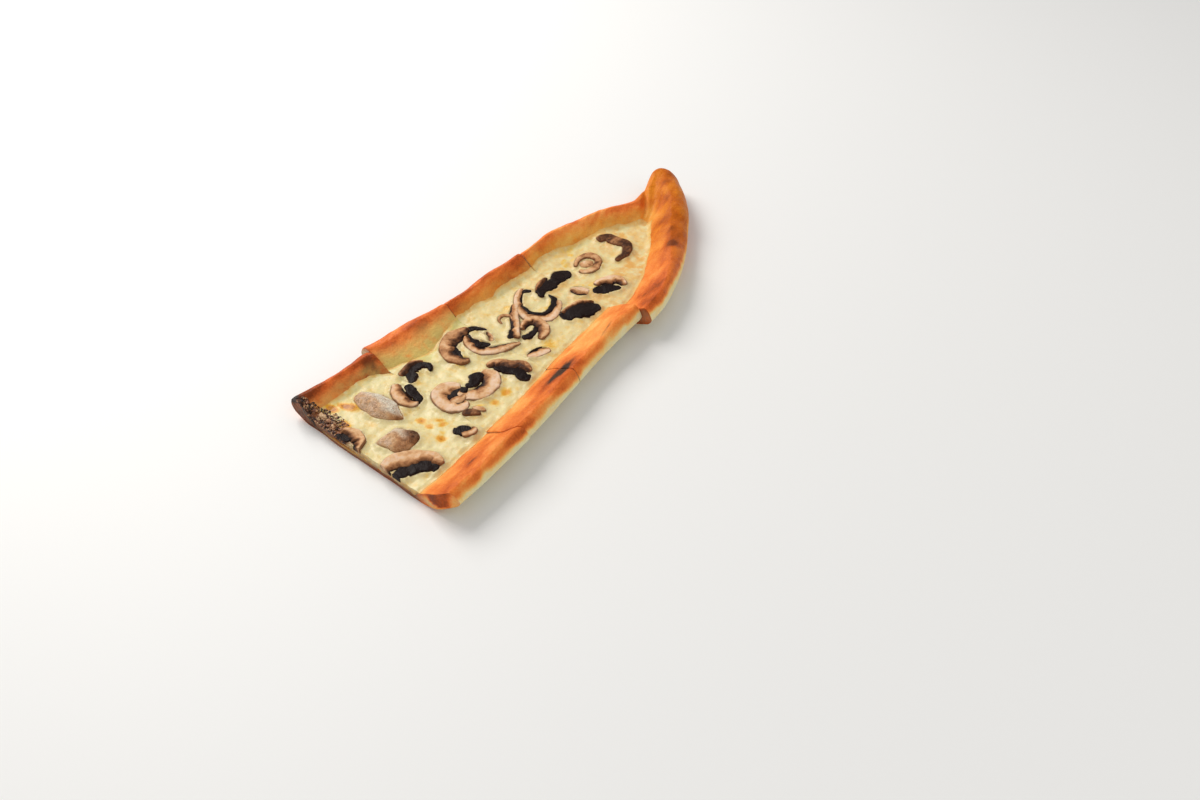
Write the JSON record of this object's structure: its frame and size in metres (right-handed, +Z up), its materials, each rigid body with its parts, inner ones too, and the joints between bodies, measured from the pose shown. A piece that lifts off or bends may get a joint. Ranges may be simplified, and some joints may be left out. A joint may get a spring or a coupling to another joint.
{
  "type": "turkish pide",
  "caption": "Half of a long boat-shaped flatbread with raised browned rims and a pointed tip, filled with melted cheese and sliced mushrooms, cut across into slices that lie together.",
  "frame": {"origin": "middle of the underside's bounding rectangle, on the surface that the bread lies on", "axes": "+Y along the bread towards its pointed tip, +Z up, +X towards the broad right rim"},
  "size_m": [0.1306, 0.3146, 0.0207],
  "materials": {
    "crust": "matte",
    "cheese": "satin",
    "mushroom": "satin"
  },
  "bodies": {
    "root": {"cheese_1": "cheese", "cheese_2": "cheese", "cheese_3": "cheese", "cheese_4": "cheese", "dough_1": "crust", "dough_2": "crust", "dough_3": "crust", "dough_4": "crust", "mushroom_01": "mushroom", "mushroom_02": "mushroom", "mushroom_03": "mushroom", "mushroom_04_slice_1": "mushroom", "mushroom_04_slice_2": "mushroom", "mushroom_05_slice_1": "mushroom", "mushroom_05_slice_2": "mushroom", "mushroom_06": "mushroom", "mushroom_07": "mushroom", "mushroom_08": "mushroom", "mushroom_09": "mushroom", "mushroom_10": "mushroom", "mushroom_11_slice_2": "mushroom", "mushroom_11_slice_3": "mushroom", "mushroom_12_slice_2": "mushroom", "mushroom_12_slice_3": "mushroom", "mushroom_13": "mushroom", "mushroom_14": "mushroom", "mushroom_15": "mushroom", "mushroom_16": "mushroom", "mushroom_17": "mushroom", "mushroom_18_slice_3": "mushroom", "mushroom_19": "mushroom", "mushroom_20": "mushroom", "mushroom_21": "mushroom", "mushroom_22": "mushroom", "mushroom_23_slice_4": "mushroom", "mushroom_24": "mushroom", "mushroom_25": "mushroom"}
  },
  "joints": []
}
